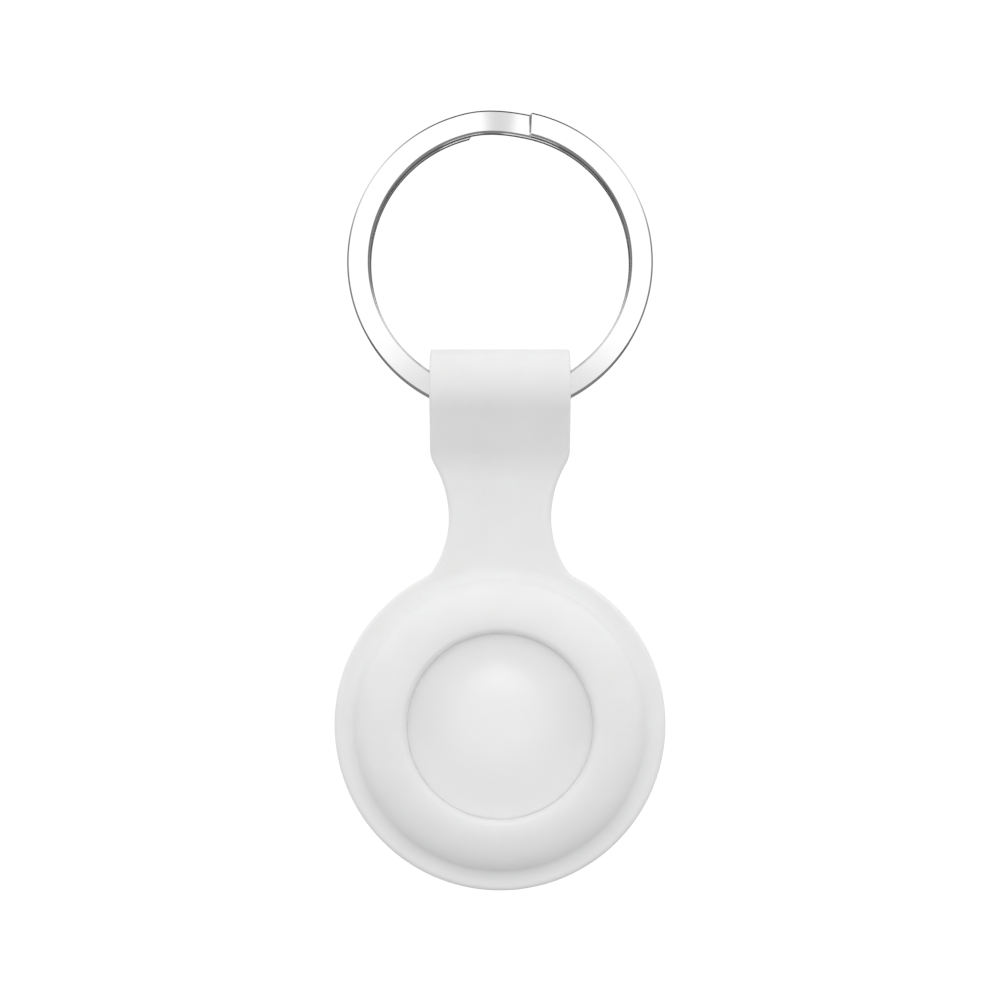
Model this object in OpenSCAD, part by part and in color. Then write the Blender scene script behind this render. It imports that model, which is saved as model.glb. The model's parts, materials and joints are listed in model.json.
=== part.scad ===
// Bluetooth tracker tag in a white silicone loop holder on a flat split key ring.
// Origin: centre of the key ring. +Z up, the front faces -Y. The tag hangs from the ring.

/* [Key ring] */
// Outer diameter of the split ring
ring_d = 35; // [34.8:0.1:35.2]
// Width of the flat wire, measured along the ring's radius
wire_w = 2.63; // [2.5:0.01:2.7]
// Thickness of one turn of the wire
turn_t = 1.25; // [1.15:0.01:1.27]
// Chamfer along the edges of the wire
wire_edge = 0.22; // [0.05:0.01:0.3]
// Angle where the front turn ends, from +X
front_end = 78; // [70:1:82]
// Angle where the back turn ends, from +X
back_end = 103; // [98:1:110]

/* [Strap loop] */
// Half of the strap's width round the key ring
loop_half_w = 7.95; // [7.8:0.05:8]
// Outer radius of the loop, seen from the side
loop_r = 5.05; // [5:0.05:5.4]
// Radius of the tunnel that the ring passes through
tunnel_r = 2.95; // [2.9:0.05:3.1]
// Height of the tunnel's axis below the ring's centre
loop_drop = 15.03; // [14.98:0.01:15.08]
// Lean of the loop's front and back faces towards the neck, in degrees
loop_lean = 24.5; // [22:0.5:26]

/* [Neck] */
// Half of the neck's width at its narrowest
neck_half_w = 5.85; // [5.8:0.05:6.1]
// Height of the narrowest place below the ring's centre
neck_drop = 29.4; // [29:0.1:29.6]
// Thickness of the front strap at the neck
neck_t = 1.7; // [1.6:0.05:1.9]
// Thickness of the closing flap at the neck
flap_t = 1.8; // [1.7:0.05:2]

/* [Pocket] */
// Height of the pocket's axis below the ring's centre
pocket_drop = 52.9; // [52.7:0.1:53.1]
// Outer radius of the flat rim round the pocket
rim_r = 18.87; // [18.6:0.01:19.2]
// Half thickness of the rim
rim_half_t = 1.5; // [1.3:0.1:1.7]
// Radius where the raised part of the pocket meets the rim
raised_r = 16.6; // [16.5:0.05:16.8]
// Half thickness of the whole pocket
pocket_half_t = 5.1; // [5.05:0.05:5.3]
// Radius of the round windows
window_r = 10.46; // [10.2:0.02:10.8]

/* [Tracker] */
// Radius of the coin-shaped tracker
tag_r = 15.95; // [15.8:0.05:16]
// Half thickness of the tracker
tag_half_t = 4; // [3.95:0.05:4.05]
// Radius of the steel battery cover
cover_r = 12.8; // [12.75:0.01:12.85]

/* [Coin cell] */
// Radius of the coin cell
cell_r = 10; // [10:0.01:10]
// Thickness of the coin cell
cell_t = 3.2; // [3.1:0.05:3.2]

/* [Hidden] */
$fn = 96;
slip = 0.02;              // half of the slit between the ring's two turns
fit = 0.06;               // clearance of the tracker in its pocket
over = 1;                 // how far a cutting shape runs past what it cuts

// Split ring, worked out
ring_r = ring_d / 2;
eye_r = ring_r - wire_w;
turn_sweep = 360 - (back_end - front_end);

// Loop and neck, worked out
lean_z = loop_drop + loop_r * sin(loop_lean);
lean_y = loop_r * cos(loop_lean);
shoulder_r = 12.35;       // hollow of the strap's sides above the neck's narrowest place
flare_r = 10.5;           // hollow of the strap's sides below it
corner_z = neck_drop - sqrt(pow(shoulder_r, 2) - pow(shoulder_r + neck_half_w - loop_half_w, 2));
flare_x = neck_half_w + flare_r;
flare_reach = norm([flare_x, pocket_drop - neck_drop]);
rim_join = atan2(pocket_drop - neck_drop, flare_x)
    - acos((pow(flare_r, 2) + pow(flare_reach, 2) - pow(rim_r, 2)) / (2 * flare_r * flare_reach));
throat_z = loop_drop + 5.4;   // where the two sides of the tunnel meet

// Snap fastener
snap_drop = 27.9;         // height of the snap below the ring's centre
tail_r = 5.6;             // round end of the flap
snap_base_r = 4.3;        // stud's base and socket
snap_base_t = 0.3;
post_flange_y = -1.25;    // front of the moulded-in flange of the post
post_flange_t = 0.4;
post_r = 1;
shank_r = 2.75;           // tube of the cap that passes through the flap
socket_back = 1.15;       // back of the socket, where the cap's tube is clinched
flap_front = 0.05;        // slit between the strap and the flap

// Tracker: h runs along its axis, towards the back
tag_mid = 0.6;            // height of the tracker's widest place
dome_n = 3;               // fullness of the front dome
back_n = 3.5;             // fullness of the back
shell_in_r = 14.05;       // bore of the front cover
shell_end = 2.9;          // back edge of the front cover
dome_in_h = -3.2;         // inside of the dome
dome_in_mid = -1;
cell_front = 0.2;         // front of the coin cell's cap
cell_back = cell_front + cell_t;
tray_front = -0.25;       // the tray's floor lies between this and h = 0
sheet_t = 0.1;            // thickness of the contacts' sheet
tray_bore_r = 13.1;
lug_count = 3;
lug_half = 7;             // half width of a bayonet lug, in degrees
board_in_r = 7;
board_out_r = 12.5;
board_front = -1.5;
board_t = 0.6;
frame_web_t = 0.2;        // web of the antenna frame, between the board and the tray
yoke_t = 0.4;
leg_ring_r = 9.25;        // the contacts' legs stand on this radius
leg_angles = [90, 210, 330];

// Even spacing along a quarter curve, closer at both of its ends
function ease(i, n) = 45 * (1 - cos(180 * i / n));

// Quarter of a rounded-square curve from (rc + a, hc) to (rc, hc + b)
function quarter(rc, hc, a, b, n, steps = 14) = [
    for (i = [0:steps]) let (t = ease(i, steps))
        [rc + a * pow(cos(t), 2 / n), hc + b * pow(sin(t), 2 / n)]
];
function backwards(points) = [for (i = [len(points) - 1:-1:0]) points[i]];

// Turns a shape drawn along Z so that it points to the back, at a height below the ring's centre
module facing_back(drop) {
    translate([0, 0, -drop]) rotate([-90, 0, 0]) children();
}

// Ring of rectangular section between two radii
module tube(r_in, r_out, h0, h1) {
    translate([0, 0, h0]) difference() {
        cylinder(r = r_out, h = h1 - h0);
        translate([0, 0, -over]) cylinder(r = r_in, h = h1 - h0 + 2 * over);
    }
}

// Part of such a ring, centred on an angle
module arc(r_in, r_out, h0, h1, centre, half) {
    rotate([0, 0, centre - half]) rotate_extrude(angle = 2 * half)
        translate([r_in, h0]) square([r_out - r_in, h1 - h0]);
}

// Body of revolution with the tracker's outline, larger by grow
module tag_solid(grow = 0) {
    front = quarter(0, tag_mid, tag_r + grow, -(tag_half_t + tag_mid + grow), dome_n);
    back = quarter(0, tag_mid, tag_r + grow, tag_half_t - tag_mid + grow, back_n);
    rotate_extrude() polygon(concat(backwards(front), back));
}

/* ---- key ring ---- */

// Section of the flat wire with its edges taken off, standing on h0
module wire_section(h0) {
    e = wire_edge;
    translate([eye_r, h0]) polygon([
        [e, 0], [wire_w - e, 0], [wire_w, e], [wire_w, turn_t - e],
        [wire_w - e, turn_t], [e, turn_t], [0, turn_t - e], [0, e]
    ]);
}

module turn(h0) {
    rotate([0, 0, back_end]) rotate_extrude(angle = turn_sweep, $fn = 180) wire_section(h0);
}

// The stretch where the wire crosses from the back layer to the front layer
module crossing() {
    mid_r = (ring_r + eye_r) / 2;
    run = mid_r * (cos(front_end) - cos(back_end));
    lean = atan((turn_t + 2 * slip) / run);
    mid_x = mid_r * (cos(front_end) + cos(back_end)) / 2;
    depth = 2 * (turn_t + slip);
    intersection() {
        rotate([0, 0, front_end - 0.5]) rotate_extrude(angle = back_end - front_end + 1, $fn = 180)
            translate([eye_r, -depth / 2]) square([wire_w, depth]);
        translate([mid_x, mid_r, 0]) rotate([0, lean, 0])
            cube([run + 2, 8, turn_t * cos(lean)], center = true);
    }
}

module key_ring() {
    color("silver") rotate([90, 0, 0]) {
        turn(slip);
        turn(-slip - turn_t);
        crossing();
    }
}

/* ---- silicone holder ---- */

// Hollows in the strap's two sides above the neck's narrowest place
module shoulder_hollows(grow) {
    for (side = [-1, 1])
        intersection() {
            translate([side * (neck_half_w + shoulder_r), -neck_drop])
                circle(r = shoulder_r + grow, $fn = 180);
            translate([-2 * loop_half_w, -neck_drop])
                square([4 * loop_half_w, neck_drop - corner_z + over]);
        }
}

// Front outline of the strap, down to the pocket's rim
module strap_outline() {
    join_x = flare_x - flare_r * cos(rim_join);
    join_z = neck_drop + flare_r * sin(rim_join);
    difference() {
        polygon([
            [-loop_half_w, -loop_drop + loop_r], [loop_half_w, -loop_drop + loop_r],
            [loop_half_w, -corner_z], [join_x, -join_z],
            [join_x, -pocket_drop + raised_r - 2], [-join_x, -pocket_drop + raised_r - 2],
            [-join_x, -join_z], [-loop_half_w, -corner_z]
        ]);
        for (side = [-1, 1])
            translate([side * flare_x, -neck_drop]) circle(r = flare_r, $fn = 180);
        shoulder_hollows(0);
    }
}

// Outline of the closing flap down to its snap, all of it behind the strap
module flap_outline() {
    difference() {
        polygon([
            [-loop_half_w, -loop_drop + loop_r], [loop_half_w, -loop_drop + loop_r],
            [loop_half_w, -corner_z], [tail_r, -snap_drop],
            [-tail_r, -snap_drop], [-loop_half_w, -corner_z]
        ]);
        shoulder_hollows(0.1);
    }
}

// Side view of one half of the loop and its strap: y runs away from the middle, z is up
module half_side_view(strap_t, end_drop) {
    meet_z = lean_z + (lean_y - strap_t) / tan(loop_lean);
    difference() {
        union() {
            intersection() {
                translate([0, -loop_drop]) circle(r = loop_r);
                translate([0, -loop_drop - loop_r]) square([loop_r, 2 * loop_r]);
            }
            polygon([
                [0, -loop_drop], [lean_y, -lean_z], [strap_t, -meet_z],
                [strap_t, -end_drop], [0, -end_drop]
            ]);
        }
        translate([0, -loop_drop]) circle(r = tunnel_r);
        tunnel_throat();
    }
}

// The pointed lower part of the tunnel
module tunnel_throat() {
    reach = throat_z - loop_drop;
    a = asin(tunnel_r / reach);
    half = tunnel_r * cos(a);
    top = -loop_drop - tunnel_r * sin(a);
    polygon([[-half, top], [0, -throat_z], [half, top]]);
}

// One half of the loop as a solid: its side view cut to a front outline
module half_loop(side, strap_t, end_drop) {
    intersection() {
        rotate([90, 0, 90]) translate([0, 0, -loop_half_w]) linear_extrude(2 * loop_half_w)
            scale([side, 1]) half_side_view(strap_t, end_drop);
        rotate([90, 0, 0]) translate([0, 0, -2 * loop_r]) linear_extrude(4 * loop_r) children();
    }
}

// Pocket for the tracker with its rim, about its own axis
module pocket() {
    flat_r = raised_r - 4;      // where the raised part starts to fall away
    crown_r = 11.4;             // from here the raised part leans in to the window
    rim_edge = 0.8;             // rounding of the rim's edge
    drop = pocket_half_t - rim_half_t;
    back = concat(
        quarter(rim_r - rim_edge, rim_half_t - rim_edge, rim_edge, rim_edge, 2, 6),
        quarter(flat_r, rim_half_t, raised_r - flat_r, drop, 2.2),
        [[crown_r, pocket_half_t], [window_r + 0.3, pocket_half_t - 0.3]],
        [[window_r, pocket_half_t - 0.6]]
    );
    front = [for (p = backwards(back)) [p[0], -p[1]]];
    difference() {
        rotate_extrude() polygon(concat(back, [[window_r, 0]], front));
        tag_solid(fit);
    }
}

module silicone_holder() {
    color("white") difference() {
        union() {
            half_loop(-1, neck_t, pocket_drop - raised_r + 2) strap_outline();
            facing_back(pocket_drop) pocket();
        }
        facing_back(pocket_drop) tag_solid(fit);
        facing_back(snap_drop) {
            translate([0, 0, -snap_base_t]) cylinder(r = snap_base_r, h = over);
            translate([0, 0, post_flange_y]) cylinder(r = snap_base_r, h = post_flange_t);
            translate([0, 0, post_flange_y]) cylinder(r = post_r, h = 2);
        }
    }
}

module strap_flap() {
    color("whitesmoke") difference() {
        union() {
            half_loop(1, flap_t, snap_drop) flap_outline();
            facing_back(snap_drop) cylinder(r = tail_r, h = flap_t);
        }
        translate([-loop_half_w - over, -over, -snap_drop - tail_r - over])
            cube([2 * (loop_half_w + over), over + flap_front, 2 * tail_r + snap_drop]);
        facing_back(snap_drop) {
            cylinder(r = shank_r, h = flap_t + over);
            cylinder(r = snap_base_r, h = socket_back);
        }
    }
}

/* ---- snap fastener ---- */

module snap_post() {
    color("gainsboro") facing_back(snap_drop) {
        translate([0, 0, post_flange_y]) cylinder(r = snap_base_r, h = post_flange_t);
        translate([0, 0, post_flange_y]) cylinder(r = post_r, h = 2.1);
    }
}

module snap_stud() {
    bulb = [
        [post_r, -snap_base_t], [snap_base_r, -snap_base_t], [snap_base_r, -0.05],
        [1.75, 0], [1.5, 0.25], [1.5, 0.4], [1.8, 0.7], [1.8, 0.95], [1.5, 1.25],
        [1.2, 1.3], [post_r, 1.2]
    ];
    color("silver") facing_back(snap_drop) rotate_extrude() polygon(bulb);
}

module snap_socket() {
    groove_r = 2.6;
    profile = [
        [2.1, 0.1], [snap_base_r - 0.3, 0.1], [snap_base_r, 0.3], [snap_base_r, socket_back],
        [2.1, socket_back], [2.1, 0.85], [groove_r, 0.85], [groove_r, 0.35], [2.1, 0.35]
    ];
    color("silver") facing_back(snap_drop) rotate_extrude() polygon(profile);
}

module snap_spring() {
    color("goldenrod") facing_back(snap_drop) rotate([0, 0, 120]) rotate_extrude(angle = 300)
        translate([2.18, 0.6]) circle(r = 0.2, $fn = 24);
}

module snap_cap() {
    cap_r = 4.7;
    profile = concat(
        [[0, flap_t], [0, flap_t + 1.05]],
        backwards(quarter(2, flap_t + 0.25, cap_r - 2, 0.8, 2, 8)),
        [[cap_r, flap_t]]
    );
    color("silver") facing_back(snap_drop) {
        rotate_extrude() polygon(profile);
        tube(shank_r - 0.6, shank_r, socket_back, flap_t + 0.1);
    }
}

/* ---- tracker: shell, speaker and electronics ---- */

module front_cover() {
    inner = quarter(0, dome_in_mid, shell_in_r, dome_in_h - dome_in_mid, 2.5);
    color("white") facing_back(pocket_drop) difference() {
        tag_solid();
        rotate_extrude() polygon(concat(backwards(inner), [[shell_in_r, 9], [0, 9]]));
        translate([0, 0, shell_end]) cylinder(r = 2 * tag_r, h = 9);
    }
}

module voice_coil() {
    color("chocolate") facing_back(pocket_drop) tube(4.85, 5.35, -3.1, -1.2);
}

module speaker_magnet() {
    color("dimgray") facing_back(pocket_drop) translate([0, 0, -2.4])
        cylinder(r = 4.5, h = 2.4 + tray_front - yoke_t);
}

module magnet_yoke() {
    color("silver") facing_back(pocket_drop) {
        tube(5.7, 6.4, -2.3, tray_front);
        translate([0, 0, tray_front - yoke_t]) cylinder(r = 6, h = yoke_t);
    }
}

module logic_board() {
    color("darkgreen") facing_back(pocket_drop) difference() {
        tube(board_in_r, board_out_r, board_front, board_front + board_t);
        translate([-2, board_out_r - 0.8, board_front - over]) cube([4, 2, 3]);
    }
}

// Places a piece on the board's front face, at an angle and a radius
module on_board(angle, r, size) {
    rotate([0, 0, angle]) translate([r - size[0] / 2, -size[1] / 2, board_front - size[2]])
        cube(size);
}

module shield_can() {
    wall = 0.15;
    size = [4.2, 5.6, 0.65];
    color("silver") facing_back(pocket_drop) difference() {
        on_board(150, 9.7, size);
        on_board(150, 9.7, size - [2 * wall, 2 * wall, wall]);
    }
}

module board_chips() {
    chips = [[40, [3, 3, 0.55]], [80, [2.2, 3, 0.5]], [205, [3.2, 3.2, 0.6]], [245, [2, 2, 0.5]],
             [320, [2.6, 2.6, 0.55]]];
    color("black") facing_back(pocket_drop) for (c = chips) on_board(c[0], 9.6, c[1]);
}

module board_passives() {
    color("tan") facing_back(pocket_drop) for (a = [0, 15, 100, 112, 175, 225, 270, 282, 345])
        for (r = [8.4, 9.6, 10.8]) on_board(a, r, [0.8, 0.5, 0.4]);
}

// A leg of a battery contact, from the board through the frame and the tray, or its hole
module leg(angle, grow = 0) {
    rotate([0, 0, angle]) translate([leg_ring_r, 0, board_front + board_t])
        cylinder(r = 0.3 + grow, h = -board_front - board_t + grow);
}

module antenna_frame() {
    color("ivory") facing_back(pocket_drop) difference() {
        union() {
            tube(board_out_r + 0.1, 13.6, board_front, tray_front);
            tube(11.9, 13, board_front + board_t, tray_front);
            tube(6.6, 13, tray_front - frame_web_t, tray_front);
        }
        for (a = leg_angles) leg(a, 0.1);
    }
}

// Three thin metal tracks round the frame, one for each radio
module antenna_traces() {
    color("goldenrod") facing_back(pocket_drop) {
        arc(13.6, 13.72, -1.2, -0.6, 20, 45);
        arc(13.6, 13.72, -1.2, -0.6, 140, 45);
        arc(13.6, 13.72, -1.2, -0.6, 260, 45);
    }
}

/* ---- tracker: battery bay ---- */

module battery_tray() {
    color("whitesmoke") facing_back(pocket_drop) difference() {
        union() {
            translate([0, 0, tray_front]) cylinder(r = shell_in_r - 0.1, h = -tray_front);
            tube(tray_bore_r, shell_in_r - 0.1, tray_front, 3.1);
            for (i = [0:lug_count - 1])
                arc(12.55, tray_bore_r + 0.3, 2.45, 2.85, i * 360 / lug_count, lug_half);
        }
        for (a = leg_angles) leg(a, 0.1);
    }
}

// Two spring fingers that press on the side of the cell
module positive_contacts() {
    color("gold") facing_back(pocket_drop) for (a = [leg_angles[0], leg_angles[1]]) {
        arc(leg_ring_r - 0.5, cell_r + sheet_t, 0, sheet_t, a, 5);
        arc(cell_r, cell_r + sheet_t, 0, 1.7, a, 5);
        leg(a);
    }
}

// Strip under the middle of the cell, with its two raised ends and an arm to its leg
module negative_contact() {
    pad_x = 2.6;
    color("gold") facing_back(pocket_drop) {
        rotate([0, 0, leg_angles[2]]) translate([0, -0.6, 0]) cube([leg_ring_r + 0.5, 1.2, sheet_t]);
        for (side = [-1, 1]) {
            translate([side * pad_x / 2, 0, sheet_t / 2]) cube([pad_x, 2.4, sheet_t], center = true);
            translate([side * pad_x, 0, sheet_t]) cube([1.2, 2.4, 2 * sheet_t], center = true);
        }
        leg(leg_angles[2]);
    }
}

module battery_can() {
    wall = 0.25;
    color("lightsteelblue") facing_back(pocket_drop) difference() {
        translate([0, 0, cell_front + 0.35]) cylinder(r = cell_r, h = cell_t - 0.35);
        translate([0, 0, cell_front]) cylinder(r = cell_r - wall, h = cell_t - wall);
    }
}

module battery_gasket() {
    color("black") facing_back(pocket_drop)
        tube(9.3, cell_r - 0.25, cell_front + 0.35, cell_back - 0.25);
}

module battery_cap() {
    color("lightgray") facing_back(pocket_drop) {
        translate([0, 0, cell_front]) cylinder(r = 8.8, h = 0.5);
        translate([0, 0, cell_front + 0.4]) cylinder(r = 9.3, h = cell_t - 0.7);
    }
}

/* ---- battery cover, which turns to open ---- */

module battery_cover() {
    sheet = 0.35;
    outer = quarter(0, tag_mid, tag_r, tag_half_t - tag_mid, back_n, 20);
    rim_h = tag_mid + (tag_half_t - tag_mid) * pow(1 - pow(cover_r / tag_r, back_n), 1 / back_n);
    dome = [for (p = outer) if (p[0] < cover_r) p];
    inner = [for (p = backwards(dome)) if (p[0] < cover_r - sheet) [p[0], p[1] - sheet]];
    color("silver") facing_back(pocket_drop) rotate_extrude() polygon(concat(
        [[cover_r, 3], [cover_r, rim_h]], dome, inner,
        [[cover_r - sheet, rim_h - sheet], [cover_r - sheet, 3]]
    ));
}

// Plastic ring under the steel cover, with a bayonet tab for each lug
module cover_clip_ring() {
    color("white") facing_back(pocket_drop) {
        tube(10.6, 12.4, 1.85, 2.9);
        tube(10.6, 11.3, 2.8, 3.3);
        for (i = [0:lug_count - 1])
            arc(12.3, tray_bore_r - 0.15, 1.85, 2.35, i * 360 / lug_count, lug_half);
    }
}

module cover_seal() {
    color("dimgray") facing_back(pocket_drop) rotate_extrude()
        translate([12, 3.05]) circle(r = 0.15, $fn = 24);
}

key_ring();
silicone_holder();
snap_stud();
snap_post();
strap_flap();
snap_cap();
snap_socket();
snap_spring();
front_cover();
voice_coil();
speaker_magnet();
magnet_yoke();
logic_board();
shield_can();
board_chips();
board_passives();
antenna_frame();
antenna_traces();
battery_tray();
positive_contacts();
negative_contact();
battery_can();
battery_gasket();
battery_cap();
battery_cover();
cover_clip_ring();
cover_seal();
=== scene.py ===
import json
import math

import bmesh
import bpy
import numpy as np
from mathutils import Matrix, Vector


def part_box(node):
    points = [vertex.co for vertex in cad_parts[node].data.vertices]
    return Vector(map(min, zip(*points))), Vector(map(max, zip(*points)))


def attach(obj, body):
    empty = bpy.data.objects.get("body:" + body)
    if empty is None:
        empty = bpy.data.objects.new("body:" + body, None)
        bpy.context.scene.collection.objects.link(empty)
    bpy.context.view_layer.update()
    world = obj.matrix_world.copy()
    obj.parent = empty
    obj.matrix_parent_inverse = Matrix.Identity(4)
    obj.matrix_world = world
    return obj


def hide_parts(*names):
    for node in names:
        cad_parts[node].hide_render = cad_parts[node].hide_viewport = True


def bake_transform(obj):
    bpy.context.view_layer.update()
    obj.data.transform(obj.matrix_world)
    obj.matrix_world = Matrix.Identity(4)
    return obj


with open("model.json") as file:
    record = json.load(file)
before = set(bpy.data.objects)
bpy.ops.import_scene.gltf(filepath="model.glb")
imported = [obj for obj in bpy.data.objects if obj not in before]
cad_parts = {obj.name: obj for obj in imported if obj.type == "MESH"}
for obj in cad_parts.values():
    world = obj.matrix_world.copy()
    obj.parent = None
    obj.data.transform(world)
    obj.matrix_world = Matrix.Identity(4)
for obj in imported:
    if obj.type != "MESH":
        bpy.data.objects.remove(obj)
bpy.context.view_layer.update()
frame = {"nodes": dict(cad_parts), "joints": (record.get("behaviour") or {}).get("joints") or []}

MM = 0.001


# ---------------------------------------------------------------- sizes, in mm, from the frame

def node_box(*names):
    """Lowest and highest corner of some CAD nodes together, in mm."""
    corners = [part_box(name) for name in names]
    low = np.min([np.array(c[0]) for c in corners], axis=0) / MM
    high = np.max([np.array(c[1]) for c in corners], axis=0) / MM
    return low, high


def joint_height(name):
    """Height of a joint's axis, in mm."""
    return next(j for j in frame["joints"] if j["name"] == name)["pos_m"][2] / MM


ring_low, ring_high = node_box("key_ring")
RING_R = (ring_high[0] - ring_low[0]) / 2
holder_low, holder_high = node_box("silicone_holder")
flap_low, flap_high = node_box("strap_flap")
tag_low, tag_high = node_box("front_cover")
cover_high = node_box("battery_cover")[1]
cap_low, cap_high = node_box("snap_cap")

LOOP_Z = joint_height("ring_swing")
POCKET_Z = joint_height("tag_spin")
LOOP_R = flap_high[2] - LOOP_Z
LOOP_HALF_W = flap_high[0]
RIM_R = holder_high[0]
POCKET_HALF_T = holder_high[1]
TAG_R = tag_high[0]
TAG_HALF_T = -tag_low[1]
COVER_R = cover_high[0]
SNAP_Z = (cap_low[2] + cap_high[2]) / 2
CAP_R = cap_high[0]

# Strap
SPLIT_Z = -14.0          # above this the strap is one band over the top of the tunnel
TUNNEL_R = 2.95
THROAT_Z = LOOP_Z - 5.4
LEAN = math.radians(24.5)
NECK_T = 1.7
FLAP_T = 1.8
FLAP_FRONT = 0.05
NECK_HALF_W = 5.85
NECK_Z = -29.4
SHOULDER_R = 12.35
FLARE_R = 10.5
NECK_FADE_Z = -37.0      # from here up the front goes over from the rim's depth to the neck's
NECK_FADE = 6.0
TAIL_R = SNAP_Z - flap_low[2]
FLAP_INSET = 0.12        # how far the flap's sides stay inside the strap's outline

# Recesses for the snap
SNAP_BASE_R = 4.3
SNAP_BASE_T = 0.3
SHANK_R = 2.75
SOCKET_BACK = 1.15

# Roundings of the silicone's edges and corners
STRAP_EDGE = 0.2
STRAP_EDGE_GROWTH = 0.4  # added below the loop
FLAP_EDGE = 0.2
FLAP_EDGE_GROWTH = 0.2
FLAP_FRONT_EDGE = 0.15
SPLIT_EDGE = 0.3
TUNNEL_EDGE = 0.3
LOOP_FILLET = 0.7
RIM_EDGE = 0.6
RAISED_FILLET = 0.9
WINDOW_EDGE = 0.7
SEAT_EDGE = 0.08

# Pocket
RIM_HALF_T = 1.5
RAISED_R = 16.6
RAISED_FALL = 5.6        # radial reach of the raised part's rounded fall
RAISED_FALL_T = 3.6      # its depth
RIM_SET_BACK = 0.25      # the middle of the rim's own body lies this far behind the middle plane
CROWN_R = 12.6           # inside this the raised faces fall towards the window
CROWN_REACH = 3.0
CROWN_FALL = 0.045       # fall 1 mm inside CROWN_R; it grows with the square
WINDOW_R = 10.46
POCKET_FIT = 0.06

# Tracker's outline: it is widest TAG_MID behind the middle plane
TAG_MID = 0.6
DOME_POWER = 3.0
BACK_POWER = 3.5


# ---------------------------------------------------------------- meshes

def mesh_piece(name, points_mm, faces, smooth=True):
    """Makes an object from points in mm."""
    mesh = bpy.data.meshes.new(name)
    mesh.from_pydata((np.asarray(points_mm, float) * MM).tolist(), [], faces)
    mesh.validate()
    mesh.update()
    if smooth:
        mesh.shade_smooth()
    obj = bpy.data.objects.new(name, mesh)
    bpy.context.scene.collection.objects.link(obj)
    return obj


def finish_piece(obj, body, material, nodes):
    """Puts a piece on its body, in place of its CAD nodes, with its material."""
    obj.data.materials.clear()
    obj.data.materials.append(material)
    if body:
        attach(obj, body)
    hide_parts(*nodes)


def lathe_points(profile, height, segments):
    """Points and faces of a closed profile of (radius, y) turned about the Y axis at a height."""
    angles = np.linspace(0, 2 * math.pi, segments, endpoint=False)
    points, rows = [], []
    for radius, y in profile:
        if radius < 1e-6:
            rows.append([len(points)] * segments)
            points.append((0, y, height))
            continue
        rows.append(list(range(len(points), len(points) + segments)))
        points += [(radius * math.sin(a), y, height + radius * math.cos(a)) for a in angles]
    faces = []
    for k, row in enumerate(rows):
        other = rows[(k + 1) % len(rows)]
        for i in range(segments):
            j = (i + 1) % segments
            face = [row[i], row[j], other[j], other[i]]
            face = [v for n, v in enumerate(face) if v not in face[:n]]
            if len(face) > 2:
                faces.append(face)
    return points, faces


def lathe(name, profile, height, segments=192):
    """A turned piece from a closed profile of (radius, y), with its axis along Y at a height."""
    points, faces = lathe_points(profile, height, segments)
    obj = mesh_piece(name, points, faces)
    face_outwards(obj)
    return obj


def face_outwards(obj):
    """Makes the faces of a closed mesh point out of it."""
    bm = bmesh.new()
    bm.from_mesh(obj.data)
    bmesh.ops.recalc_face_normals(bm, faces=bm.faces)
    bm.to_mesh(obj.data)
    bm.free()


def tag_curve(power, depth, steps=40):
    """Points (r, y) of a quarter of the tracker's outline, from its widest place to its middle."""
    turns = [math.pi / 4 * (1 - math.cos(math.pi * i / steps)) for i in range(steps + 1)]
    return [
        (TAG_R * math.cos(t) ** (2 / power) if i < steps else 0.0,
         TAG_MID + depth * math.sin(t) ** (2 / power))
        for i, t in enumerate(turns)
    ]


# ---------------------------------------------------------------- silicone, as a distance field

def rounded_and(a, b, radius):
    """Where both fields are negative, with the edge between them rounded."""
    return np.minimum(np.maximum(a, b), -radius) + np.hypot(
        np.maximum(a + radius, 0), np.maximum(b + radius, 0)
    )


def rounded_or(a, b, radius):
    """Where either field is negative, with the corner between them filled."""
    return -rounded_and(-a, -b, radius)


def corner_and(a, b, turn, radius):
    """Where both distances to two lines that meet at an angle are negative, with the corner rounded."""
    a, b = a + radius, b + radius
    past = (a > b * math.cos(turn)) & (b > a * math.cos(turn))
    corner = np.sqrt(np.maximum(a * a + b * b - 2 * a * b * math.cos(turn), 0)) / math.sin(turn)
    return np.where(past & (a + b > 0), corner, np.maximum(a, b)) - radius


def ease(t):
    """Rises smoothly from 0 at t = 0 to 1 at t = 1."""
    t = np.clip(t, 0, 1)
    return t * t * (3 - 2 * t)


def below(z, start, reach):
    """Rises smoothly from 0 at a height to 1 at some reach below it."""
    return ease((start - z) / reach)


SHOULDER_X = NECK_HALF_W + SHOULDER_R
FLARE_X = NECK_HALF_W + FLARE_R
CORNER_TURN = math.acos((SHOULDER_X - LOOP_HALF_W) / SHOULDER_R)
CORNER_Z = NECK_Z + SHOULDER_R * math.sin(CORNER_TURN)
CORNER_ROUND = 3.0
FLARE_REACH = math.hypot(FLARE_X, NECK_Z - POCKET_Z)
RIM_TURN = math.pi - math.acos(
    (FLARE_R**2 + RIM_R**2 - FLARE_REACH**2) / (2 * FLARE_R * RIM_R)
)
RIM_FILLET = 2.0
STRAP_END_Z = POCKET_Z + RIM_R * 0.75
TAIL_TAPER = math.atan2(LOOP_HALF_W - TAIL_R, CORNER_Z - SNAP_Z)
NO_LIMIT = -9.0          # a field value deep inside, where a cut doesn't act


def strap_outline(x, z):
    """Front outline of the strap, which widens both ways from the neck."""
    ax = np.abs(x)
    shoulder = SHOULDER_R - np.hypot(ax - SHOULDER_X, z - NECK_Z)
    flare = FLARE_R - np.hypot(ax - FLARE_X, z - NECK_Z)
    upper = corner_and(shoulder, ax - LOOP_HALF_W, CORNER_TURN, CORNER_ROUND)
    upper = np.where(z > CORNER_Z + CORNER_ROUND, ax - LOOP_HALF_W, upper)
    return np.where(z > NECK_Z, upper, flare)


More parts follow.
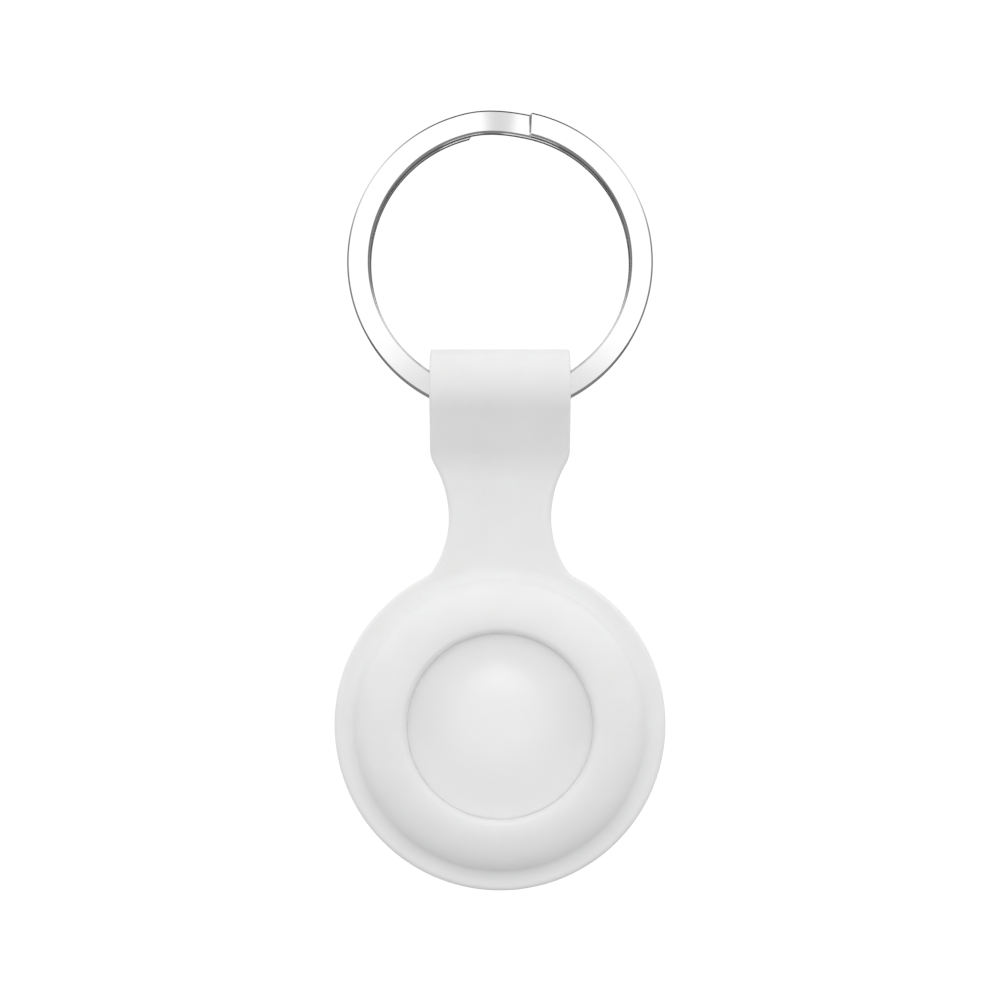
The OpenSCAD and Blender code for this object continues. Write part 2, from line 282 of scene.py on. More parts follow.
def body_outline(x, z):
    """Front outline of the strap and the pocket's rim, with the corners between them filled."""
    rim = np.hypot(x, z - POCKET_Z) - RIM_R
    strap = np.maximum(strap_outline(x, z), STRAP_END_Z - z)
    both = -corner_and(-strap, -rim, RIM_TURN, RIM_FILLET)
    return np.where(z > NECK_Z, strap, both)


def flap_outline(x, z):
    """Outline of the closing flap: it narrows to a round tail about the snap, hidden by the strap."""
    ax = np.abs(x)
    line = (ax - TAIL_R) * math.cos(TAIL_TAPER) - (z - SNAP_Z) * math.sin(TAIL_TAPER)
    side = corner_and(line, ax - LOOP_HALF_W, TAIL_TAPER, CORNER_ROUND)
    inset = FLAP_INSET * below(z, CORNER_Z + 6, 5)
    side = np.maximum(side, strap_outline(x, z) + inset)
    return np.minimum(np.maximum(side, SNAP_Z - z), np.hypot(ax, z - SNAP_Z) - TAIL_R)


def outer_side(away, z, thickness):
    """Distance out of the loop's side view. away is measured from the middle plane."""
    normal = np.array([math.cos(LEAN), -math.sin(LEAN)])
    lean = away * normal[0] + (z - LOOP_Z) * normal[1] - LOOP_R
    past = away * normal[1] - (z - LOOP_Z) * normal[0]
    strap = rounded_or(lean, away - thickness, LOOP_FILLET)
    return np.where(past > 0, strap, np.hypot(away, z - LOOP_Z) - LOOP_R)


def tunnel(y, z):
    """The teardrop-shaped tunnel that the key ring passes through."""
    ay = np.abs(y)
    half_angle = math.asin(TUNNEL_R / (LOOP_Z - THROAT_Z))
    wall = ay * math.cos(half_angle) - (z - THROAT_Z) * math.sin(half_angle)
    past = -(z - LOOP_Z) * math.cos(half_angle) - ay * math.sin(half_angle)
    return np.where(past > 0, wall, np.hypot(ay, z - LOOP_Z) - TUNNEL_R)


def tag_field(r, y, grow):
    """The tracker's outline as a field, larger by grow."""
    behind = y - TAG_MID
    power = np.where(behind > 0, BACK_POWER, DOME_POWER)
    depth = np.where(behind > 0, TAG_HALF_T - TAG_MID, TAG_HALF_T + TAG_MID) + grow
    shape = (r / (TAG_R + grow)) ** power + (np.abs(behind) / depth) ** power
    return (shape ** (1 / power) - 1) * depth


def flap_field(x, y, z):
    """The back of the loop and the tail that closes on the neck."""
    edge = FLAP_EDGE + FLAP_EDGE_GROWTH * below(z, SPLIT_Z, 4)
    shape = rounded_and(flap_outline(x, z), outer_side(np.abs(y), z, FLAP_T), edge)
    front = np.where(z < SPLIT_Z, FLAP_FRONT - y, NO_LIMIT)
    shape = rounded_and(shape, front, FLAP_FRONT_EDGE)
    shape = rounded_and(shape, -tunnel(y, z), TUNNEL_EDGE)
    r = np.hypot(x, z - SNAP_Z)
    socket = np.maximum(r - SNAP_BASE_R, y - SOCKET_BACK)
    return np.maximum(shape, -np.minimum(r - SHANK_R, socket))


def holder_field(x, y, z):
    """The pocket, the neck and the front of the loop."""
    r = np.hypot(x, z - POCKET_Z)
    rim = r - RIM_R
    front_t = RIM_HALF_T + (NECK_T - RIM_HALF_T) * ease((z - NECK_FADE_Z) / NECK_FADE)
    edge = STRAP_EDGE + STRAP_EDGE_GROWTH * below(z, CORNER_Z + 2, 5)
    strap = rounded_and(body_outline(x, z), outer_side(np.abs(y), z, front_t), edge)
    strap = rounded_and(strap, np.where(z < SPLIT_Z, y, NO_LIMIT), SPLIT_EDGE)
    strap = rounded_and(strap, -tunnel(y, z), TUNNEL_EDGE)
    base = np.maximum(np.hypot(x, z - SNAP_Z) - SNAP_BASE_R, -SNAP_BASE_T - y)
    strap = np.maximum(strap, -base)
    rim_faces = np.abs(y - RIM_SET_BACK) - RIM_HALF_T + RIM_SET_BACK
    rim_back = rounded_and(rim, rim_faces, RIM_EDGE)
    crown = CROWN_FALL * np.clip(CROWN_R - r, 0, CROWN_REACH) ** 2
    side = (r - RAISED_R) * RAISED_FALL_T / RAISED_FALL
    raised = rounded_and(side, np.abs(y) - POCKET_HALF_T + crown, RAISED_FALL_T)
    body = rounded_or(np.minimum(strap, rim_back), raised, RAISED_FILLET)
    body = rounded_and(body, WINDOW_R - r, WINDOW_EDGE)
    return rounded_and(body, -tag_field(r, y, POCKET_FIT), SEAT_EDGE)


SPREAD = 0.9             # how far the tail is held off the neck while the surface is meshed


def spread(z):
    """How far back the flap is held at a height while the surface is meshed."""
    return SPREAD * below(z, SPLIT_Z + 1, 6)


def spread_field(x, y, z):
    """Holder and flap together, with the flap's tail held off the neck."""
    return np.minimum(holder_field(x, y, z), flap_field(x, y - spread(z), z))


def surface_nets(field, low, high, step):
    """Quads over the zero surface of a field, one vertex in each grid cell that it crosses."""
    axes = [np.arange(a, b + step, step) for a, b in zip(low, high)]
    grid = np.meshgrid(*axes, indexing="ij")
    value = field(*grid)
    inside = value < 0
    cells = tuple(n - 1 for n in value.shape)
    total = np.zeros(cells + (3,))
    count = np.zeros(cells)
    crossings = []
    for axis in range(3):
        first = [slice(None)] * 3
        second = [slice(None)] * 3
        first[axis], second[axis] = slice(0, -1), slice(1, None)
        a, b = value[tuple(first)], value[tuple(second)]
        index = np.argwhere(inside[tuple(first)] != inside[tuple(second)])
        pick = tuple(index.T)
        share = a[pick] / (a[pick] - b[pick])
        point = np.stack([axes[k][index[:, k]] for k in range(3)], axis=1)
        point[:, axis] += share * step
        crossings.append((axis, index, inside[tuple(first)][pick]))
        u, v = [k for k in range(3) if k != axis]
        for du in (0, 1):
            for dv in (0, 1):
                cell = index.copy()
                cell[:, u] -= du
                cell[:, v] -= dv
                np.add.at(total, tuple(cell.T), point)
                np.add.at(count, tuple(cell.T), 1)
    used = count > 0
    number = np.full(cells, -1)
    number[used] = np.arange(used.sum())
    points = total[used] / count[used][:, None]
    quads = []
    for axis, index, starts_inside in crossings:
        u, v = (axis + 1) % 3, (axis + 2) % 3
        corners = []
        for du, dv in ((0, 0), (1, 0), (1, 1), (0, 1)):
            cell = index.copy()
            cell[:, u] -= du
            cell[:, v] -= dv
            corners.append(number[tuple(cell.T)])
        quad = np.stack(corners, axis=1)
        quad[~starts_inside] = quad[~starts_inside][:, ::-1]
        quads.append(quad)
    return points, np.concatenate(quads)


def slope(field, p, reach=0.01):
    """Gradient of a field at some points."""
    parts = []
    for axis in range(3):
        step = np.zeros(3)
        step[axis] = reach
        parts.append((field(*(p + step).T) - field(*(p - step).T)) / (2 * reach))
    return np.stack(parts, axis=1)


def settle(field, p, rounds=4):
    """Moves points on to the zero surface of a field."""
    for _ in range(rounds):
        g = slope(field, p)
        size = np.maximum((g * g).sum(axis=1), 0.05)
        move = (field(*p.T) / size)[:, None] * g
        p = p - np.clip(move, -0.2, 0.2)
    return p


def cut_over_tunnel(bm):
    """Cuts the band over the tunnel along its top and closes both cuts."""
    top = [f for f in bm.faces if all(v.co.z > SPLIT_Z + 1 and abs(v.co.y) < 1 for v in f.verts)]
    corners = list({v for f in top for v in f.verts})
    sides = list({e for f in top for e in f.edges})
    cut = bmesh.ops.bisect_plane(
        bm, geom=corners + sides + top, plane_co=(0, 0, 0), plane_no=(0, 1, 0), dist=1e-5
    )
    seam = [e for e in cut["geom_cut"] if isinstance(e, bmesh.types.BMEdge)]
    bmesh.ops.split_edges(bm, edges=seam)
    bmesh.ops.edgeloop_fill(bm, edges=[e for e in bm.edges if e.is_boundary])


def separate_parts(bm):
    """Lists of the vertices of each connected part, the largest part first."""
    bm.verts.ensure_lookup_table()
    bm.verts.index_update()
    seen = [False] * len(bm.verts)
    parts = []
    for start in bm.verts:
        if seen[start.index]:
            continue
        seen[start.index] = True
        stack, members = [start], []
        while stack:
            vert = stack.pop()
            members.append(vert)
            for edge in vert.link_edges:
                other = edge.other_vert(vert)
                if not seen[other.index]:
                    seen[other.index] = True
                    stack.append(other)
        parts.append(members)
    return sorted(parts, key=len, reverse=True)


def silicone_meshes(step):
    """Points and faces of the holder and of the flap, which meet along the top of the loop."""
    margin = 0.5
    low = (-RIM_R - margin, -POCKET_HALF_T - margin, holder_low[2] - margin)
    high = (RIM_R + margin, LOOP_R + SPREAD + margin, LOOP_Z + LOOP_R + margin)
    points, quads = surface_nets(spread_field, low, high, step)
    x, y, z = points.T
    on_flap = (y > spread(z) / 2) & (z > flap_low[2] - 0.3) & (z < SPLIT_Z + 1)
    points[:, 1] = np.where(on_flap, y - spread(z), y)
    points[on_flap] = settle(flap_field, points[on_flap])
    points[~on_flap] = settle(holder_field, points[~on_flap])

    bm = bmesh.new()
    verts = [bm.verts.new(p) for p in points]
    for quad in quads:
        bm.faces.new([verts[i] for i in quad])
    bm.normal_update()
    cut_over_tunnel(bm)
    made = []
    for members in separate_parts(bm)[:2]:
        number = {v.index: k for k, v in enumerate(members)}
        faces = [
            [number[v.index] for v in f.verts] for f in bm.faces if f.verts[0].index in number
        ]
        made.append((np.array([v.co[:] for v in members]), faces))
    bm.free()
    return made


# ---------------------------------------------------------------- materials

def new_material(name):
    """A node material with an empty Principled shader."""
    material = bpy.data.materials.new(name)
    material.use_nodes = True
    tree = material.node_tree
    return material, tree, tree.nodes["Principled BSDF"]


def add_node(tree, kind, **inputs):
    """Adds a node and sets its inputs; an underscore stands for a space in an input's name."""
    node = tree.nodes.new(kind)
    for name, value in inputs.items():
        node.inputs[name.replace("_", " ")].default_value = value
    return node


def object_noise(tree, scale, detail, stretch=None):
    """Noise in the object's own space; scale is in waves per metre."""
    coordinates = tree.nodes.new("ShaderNodeTexCoord")
    noise = add_node(tree, "ShaderNodeTexNoise", Scale=scale, Detail=detail, Roughness=0.5)
    source = coordinates.outputs["Object"]
    if stretch:
        mapping = add_node(tree, "ShaderNodeMapping", Scale=stretch)
        tree.links.new(source, mapping.inputs["Vector"])
        source = mapping.outputs["Vector"]
    tree.links.new(source, noise.inputs["Vector"])
    return noise.outputs["Fac"]


def ramp(tree, source, stops):
    """Colour ramp from (position, colour) stops."""
    node = tree.nodes.new("ShaderNodeValToRGB")
    elements = node.color_ramp.elements
    while len(elements) < len(stops):
        elements.new(0.5)
    for element, (position, colour) in zip(elements, stops):
        element.position = position
        element.color = (*colour, 1)
    tree.links.new(source, node.inputs["Fac"])
    return node.outputs["Color"]


def spread_value(tree, source, low, high):
    """Maps a noise value from 0..1 to low..high."""
    node = add_node(tree, "ShaderNodeMapRange", To_Min=low, To_Max=high)
    tree.links.new(source, node.inputs["Value"])
    return node.outputs["Result"]


def add_bump(tree, shader, layers):
    """Stacks bumps of (height source, strength, distance in metres)."""
    normal = None
    for source, strength, distance in layers:
        bump = add_node(tree, "ShaderNodeBump", Strength=strength, Distance=distance)
        tree.links.new(source, bump.inputs["Height"])
        if normal:
            tree.links.new(normal, bump.inputs["Normal"])
        normal = bump.outputs["Normal"]
    tree.links.new(normal, shader.inputs["Normal"])


def silicone_material():
    """Matt white silicone with a fine grain, which light enters a little."""
    material, tree, shader = new_material("white silicone")
    cloud = object_noise(tree, 220, 4)
    colour = ramp(tree, cloud, [(0.3, (0.86, 0.86, 0.86)), (0.7, (0.885, 0.885, 0.885))])
    tree.links.new(colour, shader.inputs["Base Color"])
    tree.links.new(spread_value(tree, cloud, 0.42, 0.55), shader.inputs["Roughness"])
    grain = object_noise(tree, 9000, 2)
    add_bump(tree, shader, [(grain, 0.06, 0.00003), (cloud, 0.05, 0.0002)])
    shader.inputs["Subsurface Weight"].default_value = 0.15
    shader.inputs["Subsurface Radius"].default_value = (0.0012, 0.0010, 0.0009)
    shader.inputs["Subsurface Scale"].default_value = 1.0
    shader.inputs["IOR"].default_value = 1.41
    shader.inputs["Sheen Weight"].default_value = 0.05
    return material


def steel_material(name, colour, rough):
    """Bare or plated metal with faint wear and drawing lines."""
    material, tree, shader = new_material(name)
    wear = object_noise(tree, 600, 5)
    tint = tuple(c * 0.97 for c in colour)
    tree.links.new(ramp(tree, wear, [(0.3, tint), (0.7, colour)]), shader.inputs["Base Color"])
    tree.links.new(
        spread_value(tree, wear, rough * 0.7, rough * 1.4), shader.inputs["Roughness"]
    )
    lines = object_noise(tree, 500, 3, stretch=(1, 1, 12))
    add_bump(tree, shader, [(lines, 0.02, 0.00001)])
    shader.inputs["Metallic"].default_value = 1.0
    return material


def plastic_material(name, colour, rough, spread_of_colour=0.02, grain=0.03):
    """Moulded plastic, rubber or resin with a cloudy tint and a fine grain."""
    material, tree, shader = new_material(name)
    cloud = object_noise(tree, 300, 4)
    dark = tuple(c * (1 - spread_of_colour) for c in colour)
    tree.links.new(ramp(tree, cloud, [(0.3, dark), (0.7, colour)]), shader.inputs["Base Color"])
    tree.links.new(spread_value(tree, cloud, rough * 0.8, rough * 1.2), shader.inputs["Roughness"])
    add_bump(tree, shader, [(object_noise(tree, 7000, 2), grain, 0.00002)])
    shader.inputs["IOR"].default_value = 1.49
    return material


def turned_lines(tree, fineness):
    """Noise that changes only with the distance from the tracker's axis, as on a turned surface."""
    coordinates = tree.nodes.new("ShaderNodeTexCoord")
    offset = add_node(tree, "ShaderNodeMapping", Location=(0, 0, -POCKET_Z * MM), Scale=(1, 0, 1))
    tree.links.new(coordinates.outputs["Object"], offset.inputs["Vector"])
    reach = tree.nodes.new("ShaderNodeVectorMath")
    reach.operation = "LENGTH"
    tree.links.new(offset.outputs["Vector"], reach.inputs[0])
    noise = add_node(tree, "ShaderNodeTexNoise", Scale=fineness, Detail=2.0)
    noise.noise_dimensions = "1D"
    tree.links.new(reach.outputs["Value"], noise.inputs["W"])
    return noise.outputs["Fac"]


def turned_material(name, colour, rough, depth):
    """Metal with fine concentric lines about the tracker's axis."""
    material, tree, shader = new_material(name)
    lines = turned_lines(tree, 6000)
    cloud = object_noise(tree, 250, 4)
    tint = tuple(c * 0.94 for c in colour)
    tree.links.new(ramp(tree, cloud, [(0.3, tint), (0.7, colour)]), shader.inputs["Base Color"])
    tree.links.new(spread_value(tree, lines, rough * 0.7, rough * 1.3), shader.inputs["Roughness"])
    add_bump(tree, shader, [(lines, depth, 0.00001)])
    shader.inputs["Metallic"].default_value = 1.0
    return material


def winding_material():
    """Enamelled copper wire in close turns round the tracker's axis."""
    material, tree, shader = new_material("copper winding")
    coordinates = tree.nodes.new("ShaderNodeTexCoord")
    wave = add_node(tree, "ShaderNodeTexWave", Scale=3000.0, Distortion=0.3)
    wave.bands_direction = "Y"
    tree.links.new(coordinates.outputs["Object"], wave.inputs["Vector"])
    stops = [(0.0, (0.25, 0.09, 0.04)), (0.6, (0.72, 0.34, 0.18))]
    tree.links.new(ramp(tree, wave.outputs["Fac"], stops), shader.inputs["Base Color"])
    add_bump(tree, shader, [(wave.outputs["Fac"], 0.5, 0.00004)])
    shader.inputs["Metallic"].default_value = 0.9
    shader.inputs["Roughness"].default_value = 0.28
    return material


def board_material():
    """Green solder mask over a net of copper tracks."""
    material, tree, shader = new_material("solder mask")
    coordinates = tree.nodes.new("ShaderNodeTexCoord")
    tracks = add_node(tree, "ShaderNodeTexVoronoi", Scale=700.0, Randomness=0.7)
    tracks.distance = "CHEBYCHEV"
    tree.links.new(coordinates.outputs["Object"], tracks.inputs["Vector"])
    stops = [(0.30, (0.03, 0.17, 0.08)), (0.36, (0.07, 0.30, 0.15)), (0.46, (0.03, 0.17, 0.08))]
    tree.links.new(ramp(tree, tracks.outputs["Distance"], stops), shader.inputs["Base Color"])
    cloud = object_noise(tree, 900, 3)
    tree.links.new(spread_value(tree, cloud, 0.22, 0.4), shader.inputs["Roughness"])
    add_bump(tree, shader, [(tracks.outputs["Distance"], 0.15, 0.00003)])
    shader.inputs["Coat Weight"].default_value = 0.3
    return material


# ---------------------------------------------------------------- pieces

WIRE_W = 2.63
WIRE_T = 1.25
WIRE_OUTER_EDGE = 0.19
WIRE_INNER_EDGE = 0.26
WIRE_END_EDGE = 0.25
RING_SLIP = 0.02         # half the gap between the two turns
FRONT_END = 78.0         # where the front turn ends, in degrees from +X
BACK_END = 103.0
UPRIGHT_REACH = 4.0      # the front end is turned upright over this many degrees
FLAT_ANGLE = 14          # edges sharper than this many degrees stay crisp in the shading


def key_ring_section():
    """Section of the flat wire as (radius, depth) about its own middle, with its edges taken off."""
    half_w, half_t = WIRE_W / 2, WIRE_T / 2
    bulge = 1.3
    front = []
    for side, e in ((1, WIRE_OUTER_EDGE), (-1, WIRE_INNER_EDGE)):
        edge = [(side * (half_w - e * t), half_t - e * (1 - t) ** bulge) for t in (0, 0.5, 1)]
        front += edge[::side]
    return front + [(r, -d) for r, d in front[::-1]]


def build_key_ring(material):
    """Two turns of flat wire, crossing from the front layer to the back one near the top."""
    middle_r = RING_R - WIRE_W / 2
    section = key_ring_section()
    sweep = 720 - (BACK_END - FRONT_END)
    cross_to = 360
    cross_from = cross_to - (BACK_END - FRONT_END)
    steps = 1200
    bevel = math.degrees(WIRE_END_EDGE / middle_r)
    stations = [(0, WIRE_END_EDGE)]
    stations += [(bevel + (sweep - 2 * bevel) * k / steps, 0) for k in range(steps + 1)]
    stations += [(sweep, WIRE_END_EDGE)]
    end_x = middle_r * math.cos(math.radians(FRONT_END))
    points = []
    for gone, inset in stations:
        upright = float(ease(1 - gone / UPRIGHT_REACH))
        t = float(ease((gone - cross_from) / (cross_to - cross_from)))
        depth = (WIRE_T / 2 + RING_SLIP) * (2 * t - 1)
        for dr, dd in section:
            r = middle_r + dr * (1 - 2 * inset / WIRE_W)
            turn = upright * (math.acos(end_x / r) - math.radians(FRONT_END))
            angle = math.radians(FRONT_END - gone) + turn
            y = depth + dd * (1 - 2 * inset / WIRE_T)
            points.append((r * math.cos(angle), y, r * math.sin(angle)))
    n = len(section)
    faces = []
    for k in range(len(stations) - 1):
        for i in range(n):
            j = (i + 1) % n
            faces.append([k * n + i, k * n + j, (k + 1) * n + j, (k + 1) * n + i])
    last = (len(stations) - 1) * n
    faces.append(list(range(n)))
    faces.append(list(range(last + n - 1, last - 1, -1)))
    ring = mesh_piece("key_ring_wire", points, faces)
    face_outwards(ring)
    mark_flat(ring)
    finish_piece(ring, "key_ring", material, ["key_ring"])


def mark_flat(obj):
    """Keeps sharp edges crisp in the shading."""
    bm = bmesh.new()
    bm.from_mesh(obj.data)
    for edge in bm.edges:
        if len(edge.link_faces) == 2 and edge.calc_face_angle(0) > math.radians(FLAT_ANGLE):
            edge.smooth = False
    bm.to_mesh(obj.data)
    bm.free()


def build_silicone(material):
    """Holder and flap; the flap runs from the top of the loop down its back."""
    step = 0.2
    (holder_points, holder_faces), (flap_points, flap_faces) = silicone_meshes(step)
    holder = mesh_piece("silicone_body", holder_points, holder_faces)
    flap = mesh_piece("silicone_flap", flap_points, flap_faces)
    for obj, field, points in (
        (holder, holder_field, holder_points), (flap, flap_field, flap_points)
    ):
        normals = slope(field, points)
        normals /= np.linalg.norm(normals, axis=1)[:, None] + 1e-9
        obj.data.normals_split_custom_set_from_vertices(normals.tolist())
    finish_piece(holder, "holder", material, ["silicone_holder"])
    finish_piece(flap, None, material, ["strap_flap"])
    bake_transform(flap)


def build_front_cover(material):
    """The white dome, a shell that is open at the back."""
    bore_r, bore_y, ceiling_y = 14.05, -1.0, -3.2
    ceiling_power = 2.5
    mouth_y, mouth_chamfer = 2.9, 0.15
    outer = tag_curve(DOME_POWER, -(TAG_HALF_T + TAG_MID))
    back = [p for p in tag_curve(BACK_POWER, TAG_HALF_T - TAG_MID) if p[1] < mouth_y]
    inner = [
        (bore_r * (1 - t**ceiling_power) ** (1 / ceiling_power) if t < 1 else 0.0,
         bore_y + (ceiling_y - bore_y) * t)
        for t in np.sin(np.linspace(0, math.pi / 2, 24))
    ]
    profile = [(0.0, ceiling_y)] + inner[::-1][1:]
    profile += [(bore_r, mouth_y - mouth_chamfer), (bore_r + mouth_chamfer, mouth_y)]
    profile += back[::-1] + outer[1:]
    cover = lathe("front_cover_shell", profile, POCKET_Z)
    finish_piece(cover, "tag", material, ["front_cover"])


def build_battery_cover(material):
    """The pressed steel back, a thin dome with a rolled edge and a short skirt."""
    sheet, skirt_y = 0.35, 3.0
    curve = [p for p in tag_curve(BACK_POWER, TAG_HALF_T - TAG_MID) if p[0] < COVER_R - 0.25]
    rim_y = curve[0][1] - 0.05
    profile = [(COVER_R - sheet, skirt_y), (COVER_R - 0.1, skirt_y), (COVER_R, skirt_y + 0.08)]
    profile += [
        (COVER_R, rim_y - 0.3), (COVER_R - 0.06, rim_y - 0.12), (COVER_R - 0.16, rim_y - 0.02)
    ]
    profile += curve
    inner = [(r, y - sheet) for r, y in curve[::-1] if r < COVER_R - sheet - 0.2]
    profile += inner + [(COVER_R - sheet, rim_y - sheet - 0.15)]
    cover = lathe("battery_cover_dome", profile, POCKET_Z)
    finish_piece(cover, "battery_cover", material, ["battery_cover"])


def build_snap_cap(material):
    """The snap's cap on the back of the flap: a low dome in a rolled edge, with a hollow shank."""
    seat_y, top_y, floor_y = FLAP_T, cap_high[1], FLAP_T + 0.1
    shank_in_r = 2.15
    dome_r, dome_rise = CAP_R * 0.86, 0.42
    roll_w, roll_rise, roll_y = 0.28, 0.3, seat_y + 0.32
    dome = [
        (dome_r * math.cos(a), top_y - dome_rise + dome_rise * math.sin(a))
        for a in np.linspace(0.12, math.pi / 2, 16)
    ]
    dome[-1] = (0.0, top_y)
    rolled = [
        (CAP_R - roll_w + roll_w * math.cos(a), roll_y + roll_rise * math.sin(a))
        for a in np.linspace(-math.pi / 2, math.pi * 0.62, 12)
    ]
    profile = [(shank_in_r, SOCKET_BACK), (SHANK_R, SOCKET_BACK), (SHANK_R, seat_y)]
    profile += rolled + dome + [(0.0, floor_y), (shank_in_r, floor_y)]
    cap = lathe("snap_cap_dome", profile, SNAP_Z, 128)
    finish_piece(cap, "flap", material, ["snap_cap"])


def dress(names, material):
    """Gives carried-over CAD nodes a material."""
    for name in names:
        for slot in frame["nodes"][name].material_slots:
            slot.material = material


# ---------------------------------------------------------------- stage

def glow(tree, direction, near, far, strength):
    """Light from round a direction: all of it within near degrees, none beyond far degrees."""
    coordinates = tree.nodes.new("ShaderNodeTexCoord")
    dot = tree.nodes.new("ShaderNodeVectorMath")
    dot.operation = "DOT_PRODUCT"
    tree.links.new(coordinates.outputs["Generated"], dot.inputs[0])
    dot.inputs[1].default_value = Vector(direction).normalized()
    fall = tree.nodes.new("ShaderNodeMapRange")
    fall.interpolation_type = "SMOOTHSTEP"
    fall.inputs["From Min"].default_value = math.cos(math.radians(far))
    fall.inputs["From Max"].default_value = math.cos(math.radians(near))
    fall.inputs["To Max"].default_value = strength
    tree.links.new(dot.outputs["Value"], fall.inputs["Value"])
    return fall.outputs["Result"]


def sky(tree, base, lights):
    """A background shader of even light plus glows, which are dark cards where they are negative."""
    total = None
    for light in lights:
        add = tree.nodes.new("ShaderNodeMath")
        add.operation = "ADD"
        tree.links.new(glow(tree, *light), add.inputs[0])
        if total:
            tree.links.new(total, add.inputs[1])
        else:
            add.inputs[1].default_value = base
        total = add.outputs["Value"]
    background = tree.nodes.new("ShaderNodeBackground")
    tree.links.new(total, background.inputs["Color"])
    return background.outputs["Background"]


def build_world():
    """White behind the object, soft light from all round, and a studio for the metal to mirror."""
    world = bpy.data.worlds.new("studio")
    bpy.context.scene.world = world
    world.use_nodes = True
    tree = world.node_tree
    tree.nodes.clear()
    path = tree.nodes.new("ShaderNodeLightPath")
    soft = sky(tree, 0.54, [
        ((0, 0.2, 1), 0, 180, 0.5),             # brighter towards the top
        ((0, 0.3, 1), 0, 50, 0.35),             # large lamp overhead
        ((0, 0, -1), 0, 70, -0.2),              # dimmer from below
    ])
    mirrored = sky(tree, 0.75, [
        ((0, -1, 0.36), 17, 31, 0.35),          # front, high
        ((0, -1, 0.02), 4.6, 7.4, -0.33),       # dark disc under the edge of the next panel
        ((0, -1, -0.026), 2, 7, 0.9),           # bright panel round the camera
        ((0, -1, 0.03), 1, 4, 2.2),             # its bright middle
        ((0.24, -1, -0.05), 3, 8, -0.75),       # dark card on the picture's right
        ((-0.24, -1, -0.05), 3, 8, -0.75),      # dark card on the picture's left
        ((0, -0.3, 0.95), 10, 24, 0.6),         # lamp overhead, to the front
        ((0, 1, -0.03), 14, 22, -0.68),         # dark wall behind
        ((0, 1, -0.03), 5, 9, 0.2),             # its lighter middle
        ((0, 0, -1), 48, 78, -0.52),            # dark floor
        ((0, 0.25, 1), 12, 45, -0.7),           # dark ceiling, to the back
        ((1, 0, 0), 12, 40, -0.55),             # dark wall on the right
        ((-1, 0, 0), 12, 40, -0.55),            # dark wall on the left
    ])
    white = tree.nodes.new("ShaderNodeBackground")
    white.inputs["Color"].default_value = (1, 1, 1, 1)
    white.inputs["Strength"].default_value = 1.05
    first = tree.nodes.new("ShaderNodeMixShader")
    tree.links.new(path.outputs["Is Glossy Ray"], first.inputs["Fac"])
    tree.links.new(soft, first.inputs[1])
    tree.links.new(mirrored, first.inputs[2])
    second = tree.nodes.new("ShaderNodeMixShader")
    tree.links.new(path.outputs["Is Camera Ray"], second.inputs["Fac"])
    tree.links.new(first.outputs["Shader"], second.inputs[1])
    tree.links.new(white.outputs["Background"], second.inputs[2])
    out = tree.nodes.new("ShaderNodeOutputWorld")
    tree.links.new(second.outputs["Shader"], out.inputs["Surface"])


def build_floor():
    """A pale floor far below with a painted glow that grows towards its edge, so that it fades to white
    there; it isn't mirrored in the object.
    """
    floor_z, radius, segments = -200.0, 260.0, 96
    ring = [
        (radius * math.cos(a), radius * math.sin(a), floor_z)
        for a in np.linspace(0, 2 * math.pi, segments, endpoint=False)
    ]
    floor = mesh_piece("floor", ring, [list(range(segments))], smooth=False)
    material, tree, shader = new_material("pale floor")
    shader.inputs["Base Color"].default_value = (0.8, 0.8, 0.8, 1)
    shader.inputs["Roughness"].default_value = 0.8
    # painted glow: the floor gives off white light, from none at 0.35 of its radius up to a strength of
    # 0.4 at its edge
    shader.inputs["Emission Color"].default_value = (1, 1, 1, 1)
    coordinates = tree.nodes.new("ShaderNodeTexCoord")
    reach = tree.nodes.new("ShaderNodeVectorMath")
    reach.operation = "LENGTH"
    tree.links.new(coordinates.outputs["Object"], reach.inputs[0])
    inner = math.hypot(0.35 * radius, floor_z) * MM
    outer = math.hypot(radius, floor_z) * MM
    painted_edge_glow = add_node(tree, "ShaderNodeMapRange", From_Min=inner, From_Max=outer, To_Max=0.4)
    tree.links.new(reach.outputs["Value"], painted_edge_glow.inputs["Value"])
    tree.links.new(painted_edge_glow.outputs["Result"], shader.inputs["Emission Strength"])
    floor.data.materials.append(material)
    floor.visible_glossy = False
    floor.visible_diffuse = False


def build_spot():
    """A soft spot from the front on the pocket and the neck."""
    place, target = Vector((0, -300, -62)), Vector((0, 0, -54))
    light = bpy.data.lights.new("front spot", "SPOT")
    light.energy = 2.05
    light.spot_size = math.radians(17)
    light.spot_blend = 1.0
    light.shadow_soft_size = 60 * MM
    obj = bpy.data.objects.new("front spot", light)
    bpy.context.scene.collection.objects.link(obj)
    obj.location = place * MM
    obj.visible_glossy = False
    obj.rotation_euler = (target - place).to_track_quat("-Z", "Y").to_euler()


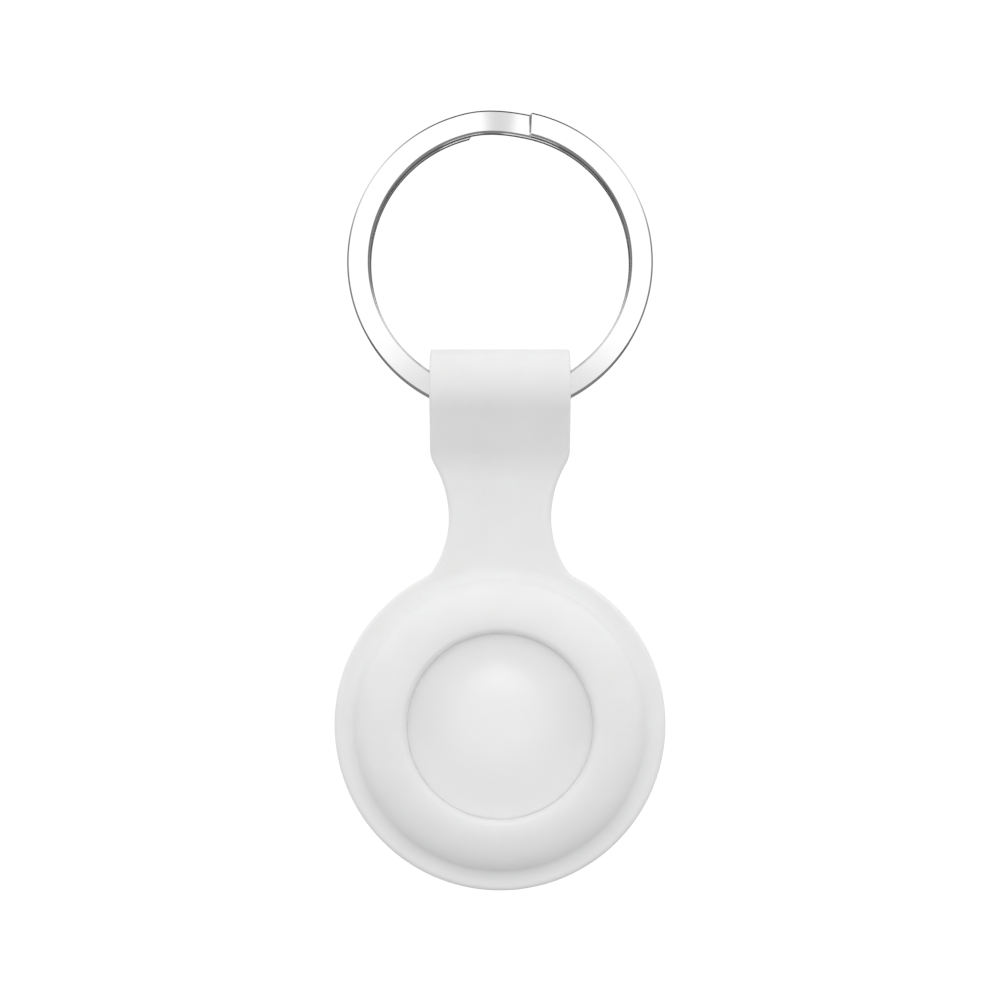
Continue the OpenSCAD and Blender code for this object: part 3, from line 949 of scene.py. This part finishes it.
def build_camera():
    """Looks at the object from the front, slightly upwards."""
    distance, camera_z, target_z = 215.0, -36.9, -33.0
    view_width, sensor = 114.679, 36.0
    data = bpy.data.cameras.new("camera")
    data.sensor_width = sensor
    data.lens = distance * sensor / view_width
    data.shift_y = 0.05
    data.clip_start = 0.01
    data.clip_end = 20
    camera = bpy.data.objects.new("camera", data)
    bpy.context.scene.collection.objects.link(camera)
    place, target = Vector((0, -distance, camera_z)), Vector((0, 0, target_z))
    camera.location = place * MM
    camera.rotation_euler = (target - place).to_track_quat("-Z", "Y").to_euler()
    bpy.context.scene.camera = camera


bpy.context.scene.view_settings.view_transform = "Standard"
build_camera()
build_world()
build_floor()
build_spot()

build_silicone(silicone_material())
build_key_ring(steel_material("mirror steel", (0.93, 0.93, 0.935), 0.03))
cover_plastic = plastic_material("polished white plastic", (0.865, 0.865, 0.865), 0.12, 0.01, 0.01)
build_front_cover(cover_plastic)
build_battery_cover(turned_material("polished stainless steel", (0.80, 0.80, 0.81), 0.2, 0.02))
build_snap_cap(steel_material("nickel plate", (0.75, 0.74, 0.72), 0.16))

plating = steel_material("snap plating", (0.7, 0.7, 0.71), 0.2)
dress(["snap_stud", "snap_post", "snap_socket"], plating)
dress(["snap_spring"], steel_material("spring bronze", (0.72, 0.48, 0.26), 0.25))
dress(["voice_coil"], winding_material())
dress(["speaker_magnet"], turned_material("magnet plating", (0.55, 0.55, 0.57), 0.15, 0.04))
tinned = steel_material("tinned sheet", (0.68, 0.68, 0.69), 0.3)
dress(["magnet_yoke", "shield_can"], tinned)
cell_steel = turned_material("cell steel", (0.76, 0.76, 0.77), 0.2, 0.06)
dress(["battery_can", "battery_cap"], cell_steel)
dress(["logic_board"], board_material())
dress(["board_chips"], plastic_material("chip epoxy", (0.03, 0.03, 0.035), 0.5, 0.3))
dress(["board_passives"], plastic_material("fired ceramic", (0.5, 0.38, 0.27), 0.5, 0.2))
dress(["antenna_frame"], plastic_material("natural plastic", (0.78, 0.76, 0.7), 0.45, 0.05))
tray_plastic = plastic_material("white tray plastic", (0.85, 0.85, 0.85), 0.4)
dress(["battery_tray", "cover_clip_ring"], tray_plastic)
gold = steel_material("gold plate", (0.85, 0.6, 0.28), 0.25)
dress(["antenna_traces", "positive_contacts", "negative_contact"], gold)
rubber = plastic_material("black rubber", (0.03, 0.03, 0.03), 0.6, 0.3)
dress(["battery_gasket", "cover_seal"], rubber)
